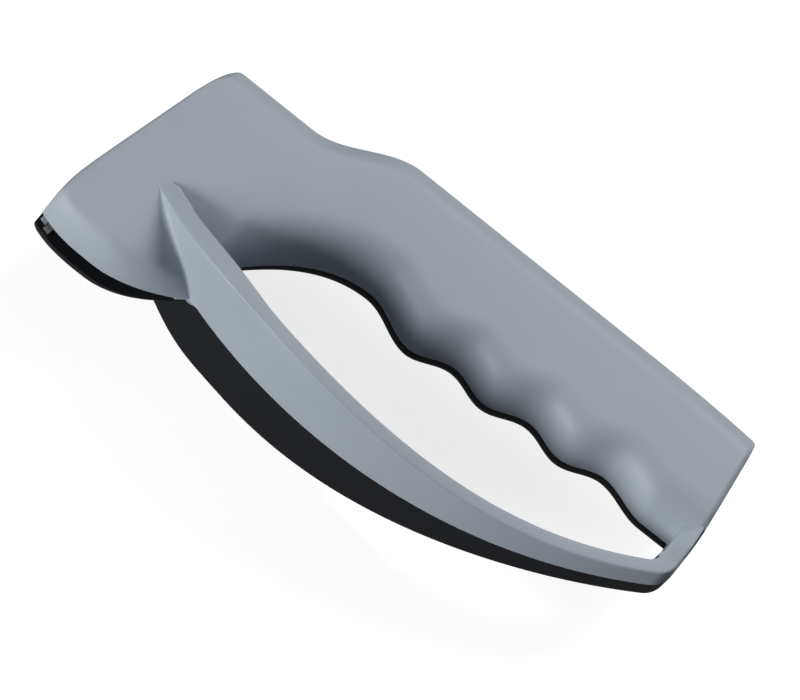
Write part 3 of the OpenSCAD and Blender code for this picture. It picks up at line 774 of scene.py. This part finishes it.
def metalFinish(name, look):
    # ground or plated metal: noise stretched along one axis gives the scratches, clouds the roughness
    material, tree, where = startMaterial(name)
    mapped = addNode(tree, "ShaderNodeMapping", {"Rotation": look["turn"], "Scale": look["stretch"]},
                     {"Vector": where})
    lines = addNode(tree, "ShaderNodeTexNoise", {"Scale": perMetre(look["grit"]), "Detail": 4.0,
                                                 "Roughness": 0.65}, {"Vector": mapped.outputs[0]})
    cloud = addNode(tree, "ShaderNodeTexNoise", {"Scale": perMetre(look["cloud"]), "Detail": 2.0},
                    {"Vector": where})
    tint = addNode(tree, "ShaderNodeMix", {"A": linear(look["dark"]), "B": linear(look["light"])},
                   {"Factor": lines.outputs["Fac"]}, data_type="RGBA")
    smooth, coarse = look["rough"]
    rough = addNode(tree, "ShaderNodeMapRange",
                    {"From Min": 0.3, "From Max": 0.7, "To Min": smooth, "To Max": coarse},
                    {"Value": cloud.outputs["Fac"]})
    bump = addNode(tree, "ShaderNodeBump", {"Strength": look["relief"], "Distance": look["depth"] * mm},
                   {"Height": lines.outputs["Fac"]})
    shader = addNode(tree, "ShaderNodeBsdfPrincipled", {"Metallic": 1.0},
                     {"Base Color": tint.outputs["Result"], "Roughness": rough.outputs[0],
                      "Normal": bump.outputs[0]})
    addNode(tree, "ShaderNodeOutputMaterial", None, {"Surface": shader.outputs[0]})
    return material


# light blue-grey ABS, moulded: an even satin skin with a broad, soft sheen. The real pebble is about
# 0.1 mm and is drawn coarser, so that it still shows
greyAbs = mouldedAbs("greyMouldedAbs", {
    "dark": "#9BA3AC", "light": "#A3ABB4", "cloud": 14.0, "pebble": 0.45, "cells": 0.99, "speck": 0.05,
    "rough": (0.44, 0.54), "relief": 0.35, "depth": 0.02, "gloss": 0.25})
# black ABS from the same kind of mould: deep black with hardly any sheen
blackAbs = mouldedAbs("blackMouldedAbs", {
    "dark": "#1A1B1E", "light": "#202124", "cloud": 14.0, "pebble": 0.45, "cells": 0.99, "speck": 0.10,
    "rough": (0.46, 0.56), "relief": 0.35, "depth": 0.02, "gloss": 0.05})
# glass-filled nylon as moulded: dull black, with paler specks where fibres reach the skin
holderNylon = mouldedAbs("blackGlassFilledNylon", {
    "dark": "#1E1F21", "light": "#2B2C2E", "cloud": 3.0, "pebble": 0.3, "cells": 0.66, "speck": 0.3,
    "rough": (0.5, 0.7), "relief": 0.6, "depth": 0.03, "gloss": 0.4})
# tungsten carbide ground along the bar: dark bright grey with fine straight lines, drawn coarser
# than the real ones, so that they show
groundCarbide = metalFinish("groundTungstenCarbide", {
    "dark": "#8D9294", "light": "#B4B9BB", "grit": 0.25, "cloud": 2.0,
    "turn": (0, 0, math.radians(inside["plateTurn"])),
    "stretch": (1.0, 0.12, 1.0), "rough": (0.28, 0.42), "relief": 0.3, "depth": 0.01})
# zinc plated steel: pale and bright, with a soft cloudy shine and no direction
zincSteel = metalFinish("zincPlatedSteel", {
    "dark": "#9A9EA2", "light": "#C3C6C9", "grit": 0.5, "cloud": 1.5, "turn": (0, 0, 0),
    "stretch": (1.0, 1.0, 1.0), "rough": (0.25, 0.4), "relief": 0.15, "depth": 0.01})


def dress(piece, material):
    # one material over the whole piece
    piece.data.materials.clear()
    piece.data.materials.append(material)


dress(topShell, greyAbs)
dress(bottomShell, blackAbs)
dress(housingScrews, zincSteel)
dress(clampScrews, zincSteel)
for nodeName, material in (("carbide_plate_upper", groundCarbide), ("carbide_plate_lower", groundCarbide),
                           ("plate_holder", holderNylon), ("plate_clamp", zincSteel)):
    for place in nodes[nodeName].material_slots:
        place.material = material
print("stage: materials")


# Floor, backdrop and lights

studio = {
    "floor": "#B3B5B7", "floorLift": 0.80,   # as the camera sees it, lifted to white by its own glow
    "floorUnseen": "#4A4C4E", "world": 0.03,  # as they light the object
    "mirrored": 0.18,                         # share of the seen white that the object mirrors
    "floorHalf": 1.5,                         # metres
    "front": {"place": (-0.50, -0.84, 0.32), "size": 0.45, "power": 10.6},
    "back": {"place": (0.18, 0.82, 0.68), "size": 0.8, "power": 10.8},
}


def seenShare(tree, look):
    # 1 for camera rays, a part of it for mirrored ones, 0 for the rest
    rays = addNode(tree, "ShaderNodeLightPath")
    mirrored = addNode(tree, "ShaderNodeMath", {1: look["mirrored"]}, {0: rays.outputs["Is Glossy Ray"]},
                       operation="MULTIPLY")
    return addNode(tree, "ShaderNodeMath", None, {0: rays.outputs["Is Camera Ray"], 1: mirrored.outputs[0]},
                   operation="ADD").outputs[0]


def makeFloor(look):
    # a flat sheet of paper under the object: it takes the object's shadow and glows for seen rays
    half = look["floorHalf"]
    mesh = bpy.data.meshes.new("floor")
    corners = [(-half, -half, 0), (half, -half, 0), (half, half, 0), (-half, half, 0)]
    mesh.from_pydata(corners, [], [(0, 1, 2, 3)])
    floor = bpy.data.objects.new("floor", mesh)
    bpy.context.collection.objects.link(floor)
    material = bpy.data.materials.new("paperSweep")
    material.use_nodes = True
    tree = material.node_tree
    tree.nodes.clear()
    seen = seenShare(tree, look)
    paper = addNode(tree, "ShaderNodeMix", {"A": linear(look["floorUnseen"]), "B": linear(look["floor"])},
                    {"Factor": seen}, data_type="RGBA")
    matte = addNode(tree, "ShaderNodeBsdfDiffuse", None, {"Color": paper.outputs["Result"]})
    power = addNode(tree, "ShaderNodeMath", {1: look["floorLift"]}, {0: seen}, operation="MULTIPLY")
    glow = addNode(tree, "ShaderNodeEmission", {"Color": (1, 1, 1, 1)}, {"Strength": power.outputs[0]})
    both = addNode(tree, "ShaderNodeAddShader", None, {0: matte.outputs[0], 1: glow.outputs[0]})
    addNode(tree, "ShaderNodeOutputMaterial", None, {"Surface": both.outputs[0]})
    mesh.materials.append(material)


def makeWorld(look):
    # white for seen rays, faint for the rest
    world = bpy.data.worlds.new("studio")
    bpy.context.scene.world = world
    world.use_nodes = True
    tree = world.node_tree
    tree.nodes.clear()
    strength = addNode(tree, "ShaderNodeMapRange", {"To Min": look["world"], "To Max": 1.0},
                       {"Value": seenShare(tree, look)})
    sky = addNode(tree, "ShaderNodeBackground", {"Color": (1, 1, 1, 1)}, {"Strength": strength.outputs[0]})
    addNode(tree, "ShaderNodeOutputWorld", None, {"Surface": sky.outputs[0]})


def makeLamp(name, look):
    # a round soft box that faces the object's middle
    data = bpy.data.lights.new(name, "AREA")
    data.shape, data.size, data.energy = "DISK", look["size"], look["power"]
    lamp = bpy.data.objects.new(name, data)
    lamp.location = look["place"]
    lamp.rotation_euler = (-Vector(look["place"])).to_track_quat("-Z", "Y").to_euler()
    bpy.context.collection.objects.link(lamp)


makeFloor(studio)
makeWorld(studio)
for lampName in ("front", "back"):
    makeLamp(lampName, studio[lampName])
bpy.context.scene.view_settings.view_transform = "Standard"
print("stage: studio")
